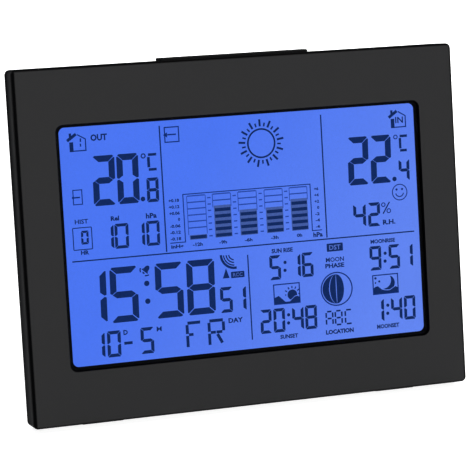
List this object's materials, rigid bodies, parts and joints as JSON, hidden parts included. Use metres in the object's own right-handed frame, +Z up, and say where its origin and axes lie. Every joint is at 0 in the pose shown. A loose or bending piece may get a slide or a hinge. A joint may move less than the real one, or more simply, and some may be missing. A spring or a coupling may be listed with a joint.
{
  "type": "home weather station",
  "caption": "Leaning tabletop weather station with a lit display in a deep frame, snooze bar on top, folding rear leg, battery bay and rear buttons.",
  "frame": {"origin": "centre of the footprint on the table, with the leg open", "axes": "+Z up, the display faces -Y, +X to the right of a person who faces the display"},
  "size_m": [0.195, 0.0556, 0.1491],
  "materials": {
    "case_black": "satin",
    "button_black": "matte",
    "rubber_black": "matte",
    "lens_clear": "gloss",
    "lcd_blue": "gloss",
    "lcd_glass": "gloss",
    "light_guide": "gloss",
    "white_film": "satin",
    "holder_white": "matte",
    "pcb_green": "satin",
    "epoxy_black": "gloss",
    "steel": "satin",
    "nickel": "polished",
    "copper": "satin",
    "ferrite_grey": "matte",
    "keypad_grey": "matte",
    "cell_wrap": "satin",
    "ribbon_grey": "satin"
  },
  "bodies": {
    "case": {"backlight_led_board": "pcb_green", "battery_1": "cell_wrap", "battery_2": "cell_wrap", "battery_3": "cell_wrap", "battery_contact_1": "nickel", "battery_contact_2": "nickel", "battery_contact_3": "nickel", "battery_contact_4": "nickel", "buzzer": "epoxy_black", "case_screw_1": "steel", "case_screw_2": "steel", "case_screw_3": "steel", "case_screw_4": "steel", "case_screw_5": "steel", "case_screw_6": "steel", "chip_blob": "epoxy_black", "crystal_can": "nickel", "diffuser_sheet": "white_film", "display_lens": "lens_clear", "ferrite_coil": "copper", "ferrite_core": "ferrite_grey", "foot_left": "rubber_black", "foot_right": "rubber_black", "front_bezel": "case_black", "keypad_left": "keypad_grey", "keypad_right": "keypad_grey", "lcd_front_glass": "lcd_blue", "lcd_holder": "holder_white", "lcd_rear_glass": "lcd_glass", "light_guide": "light_guide", "main_pcb": "pcb_green", "pcb_screw_1": "steel", "pcb_screw_2": "steel", "pcb_screw_3": "steel", "pcb_screw_4": "steel", "rear_cover": "case_black", "receiver_board": "pcb_green", "reflector_sheet": "white_film", "rf_antenna": "copper", "rf_board": "pcb_green", "sensor_board": "pcb_green", "snooze_board": "pcb_green", "snooze_ribbon": "ribbon_grey", "snooze_switch_left": "epoxy_black", "snooze_switch_right": "epoxy_black", "zebra_strip": "keypad_grey"},
    "stand": {"stand": "case_black", "stand_pad_left": "rubber_black", "stand_pad_right": "rubber_black"},
    "snooze_bar": {"snooze_bar": "button_black"},
    "battery_door": {"battery_door": "case_black"},
    "rear_button_1": {"rear_button_1": "button_black"},
    "rear_button_2": {"rear_button_2": "button_black"},
    "rear_button_3": {"rear_button_3": "button_black"},
    "rear_button_4": {"rear_button_4": "button_black"},
    "rear_button_5": {"rear_button_5": "button_black"},
    "rear_button_6": {"rear_button_6": "button_black"}
  },
  "joints": [
    {"name": "stand_fold", "type": "hinge", "parent": "case", "child": "stand", "pos_m": [0, 0.00768, 0.05862], "axis": [-1, 0, 0], "range_deg": [0, 27.8]},
    {"name": "snooze_press", "type": "slide", "parent": "case", "child": "snooze_bar", "axis": [0, -0.1771, -0.9842], "range_m": [0, 0.0008], "stiffness_N_per_m": 600, "springref_m": -0.0015},
    {"name": "battery_door_slide", "type": "slide", "parent": "case", "child": "battery_door", "axis": [0, 0.1771, 0.9842], "range_m": [0, 0.05]},
    {"name": "rear_button_1_press", "type": "slide", "parent": "case", "child": "rear_button_1", "axis": [0, -0.9842, 0.1771], "range_m": [0, 0.0008], "stiffness_N_per_m": 400, "springref_m": -0.001},
    {"name": "rear_button_2_press", "type": "slide", "parent": "case", "child": "rear_button_2", "axis": [0, -0.9842, 0.1771], "range_m": [0, 0.0008], "stiffness_N_per_m": 400, "springref_m": -0.001},
    {"name": "rear_button_3_press", "type": "slide", "parent": "case", "child": "rear_button_3", "axis": [0, -0.9842, 0.1771], "range_m": [0, 0.0008], "stiffness_N_per_m": 400, "springref_m": -0.001},
    {"name": "rear_button_4_press", "type": "slide", "parent": "case", "child": "rear_button_4", "axis": [0, -0.9842, 0.1771], "range_m": [0, 0.0008], "stiffness_N_per_m": 400, "springref_m": -0.001},
    {"name": "rear_button_5_press", "type": "slide", "parent": "case", "child": "rear_button_5", "axis": [0, -0.9842, 0.1771], "range_m": [0, 0.0008], "stiffness_N_per_m": 400, "springref_m": -0.001},
    {"name": "rear_button_6_press", "type": "slide", "parent": "case", "child": "rear_button_6", "axis": [0, -0.9842, 0.1771], "range_m": [0, 0.0008], "stiffness_N_per_m": 400, "springref_m": -0.001}
  ]
}
